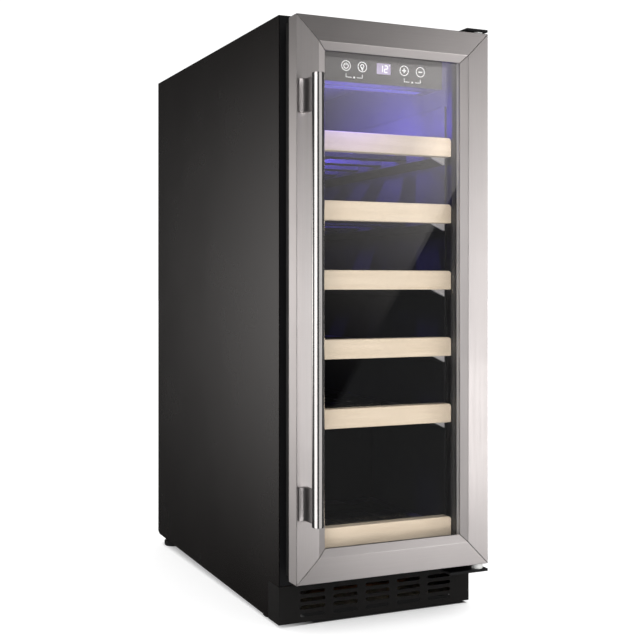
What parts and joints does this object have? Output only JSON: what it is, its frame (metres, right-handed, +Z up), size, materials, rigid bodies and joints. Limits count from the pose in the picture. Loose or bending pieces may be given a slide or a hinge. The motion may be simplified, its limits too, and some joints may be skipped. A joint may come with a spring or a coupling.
{
  "type": "wine cooler",
  "caption": "Narrow built-under wine cooler with a glazed right-hinged door, bar handle, beech-fronted shelves and a slotted plinth.",
  "frame": {"origin": "on the floor under the middle of the whole object, handle included", "axes": "+Z up, -Y out of the front door, +X to the hinge side, which is the right seen from the front"},
  "size_m": [0.295, 0.614, 0.805],
  "materials": {
    "black_steel": "satin",
    "galvanised_steel": "dull zinc",
    "brushed_stainless": "fine brushed",
    "polished_steel": "polished",
    "black_plastic": "satin",
    "grey_plastic": "satin",
    "clear_glass": "polished",
    "beech": "satin oiled",
    "foam": "rough foam",
    "rubber": "matte",
    "aluminium": "satin",
    "control_gloss": "gloss",
    "blue_display": "lit display",
    "light_lens": "frosted",
    "copper": "bright tube",
    "white_nylon": "satin"
  },
  "bodies": {
    "cabinet": {"left_side_panel": "black_steel", "right_side_panel": "black_steel", "top_panel": "black_steel", "rear_panel": "galvanised_steel", "compressor_cover": "galvanised_steel", "insulation_foam": "foam", "inner_liner": "black_plastic", "plinth_grille": "black_steel", "base_pan": "galvanised_steel", "left_rail_panel": "grey_plastic", "right_rail_panel": "grey_plastic", "evaporator_cover": "black_plastic", "evaporator_plate": "aluminium", "circulation_fan_frame": "black_plastic", "condenser_fan_frame": "black_plastic", "control_fascia": "control_gloss", "display_module": "blue_display", "control_housing": "black_plastic", "light_lens": "light_lens", "upper_hinge_plate": "black_steel", "lower_hinge_plate": "black_steel", "compressor_bracket": "black_steel", "compressor": "black_steel", "drip_tray": "black_plastic", "condenser_coil": "copper", "power_box": "black_plastic", "mains_gland": "rubber"},
    "door": {"door_bottom_rail": "brushed_stainless", "door_right_stile": "brushed_stainless", "door_top_rail": "brushed_stainless", "door_left_stile": "brushed_stainless", "outer_glass": "clear_glass", "inner_glass": "clear_glass", "glazing_spacer": "aluminium", "door_inner_frame": "black_plastic", "door_gasket": "rubber", "handle_bar": "polished_steel", "upper_handle_bracket": "brushed_stainless", "lower_handle_bracket": "brushed_stainless", "upper_hinge_bush": "white_nylon", "lower_hinge_bush": "white_nylon"},
    "shelf_1": {"shelf_1_fascia": "beech", "shelf_1_rack": "black_steel"},
    "shelf_2": {"shelf_2_fascia": "beech", "shelf_2_rack": "black_steel"},
    "shelf_3": {"shelf_3_fascia": "beech", "shelf_3_rack": "black_steel"},
    "shelf_4": {"shelf_4_fascia": "beech", "shelf_4_rack": "black_steel"},
    "shelf_5": {"shelf_5_fascia": "beech", "shelf_5_rack": "black_steel"},
    "shelf_6": {"shelf_6_fascia": "beech", "shelf_6_rack": "black_steel"},
    "circulation_fan": {"circulation_fan_rotor": "black_plastic"},
    "condenser_fan": {"condenser_fan_rotor": "black_plastic"},
    "front_left_foot": {"front_left_foot": "rubber"},
    "front_right_foot": {"front_right_foot": "rubber"},
    "rear_left_foot": {"rear_left_foot": "rubber"},
    "rear_right_foot": {"rear_right_foot": "rubber"}
  },
  "joints": [
    {"name": "door_hinge", "type": "hinge", "parent": "cabinet", "child": "door", "pos_m": [0.13525, -0.251, 0.432], "axis": [0, 0, 1], "range_deg": [0, 110]},
    {"name": "shelf_1_slide", "type": "slide", "parent": "cabinet", "child": "shelf_1", "axis": [0, -1, 0], "range_m": [0, 0.01]},
    {"name": "shelf_2_slide", "type": "slide", "parent": "cabinet", "child": "shelf_2", "axis": [0, -1, 0], "range_m": [0, 0.01]},
    {"name": "shelf_3_slide", "type": "slide", "parent": "cabinet", "child": "shelf_3", "axis": [0, -1, 0], "range_m": [0, 0.01]},
    {"name": "shelf_4_slide", "type": "slide", "parent": "cabinet", "child": "shelf_4", "axis": [0, -1, 0], "range_m": [0, 0.01]},
    {"name": "shelf_5_slide", "type": "slide", "parent": "cabinet", "child": "shelf_5", "axis": [0, -1, 0], "range_m": [0, 0.01]},
    {"name": "shelf_6_slide", "type": "slide", "parent": "cabinet", "child": "shelf_6", "axis": [0, -1, 0], "range_m": [0, 0.01]},
    {"name": "circulation_fan_spin", "type": "hinge", "parent": "cabinet", "child": "circulation_fan", "pos_m": [0, 0.22365, 0.372], "axis": [0, 1, 0], "continuous": true},
    {"name": "condenser_fan_spin", "type": "hinge", "parent": "cabinet", "child": "condenser_fan", "pos_m": [0.078, 0.08085, 0.0658], "axis": [0, 1, 0], "continuous": true},
    {"name": "front_left_foot_screw", "type": "slide", "parent": "cabinet", "child": "front_left_foot", "axis": [0, 0, -1], "range_m": [0, 0.025]},
    {"name": "front_right_foot_screw", "type": "slide", "parent": "cabinet", "child": "front_right_foot", "axis": [0, 0, -1], "range_m": [0, 0.025]},
    {"name": "rear_left_foot_screw", "type": "slide", "parent": "cabinet", "child": "rear_left_foot", "axis": [0, 0, -1], "range_m": [0, 0.025]},
    {"name": "rear_right_foot_screw", "type": "slide", "parent": "cabinet", "child": "rear_right_foot", "axis": [0, 0, -1], "range_m": [0, 0.025]}
  ]
}
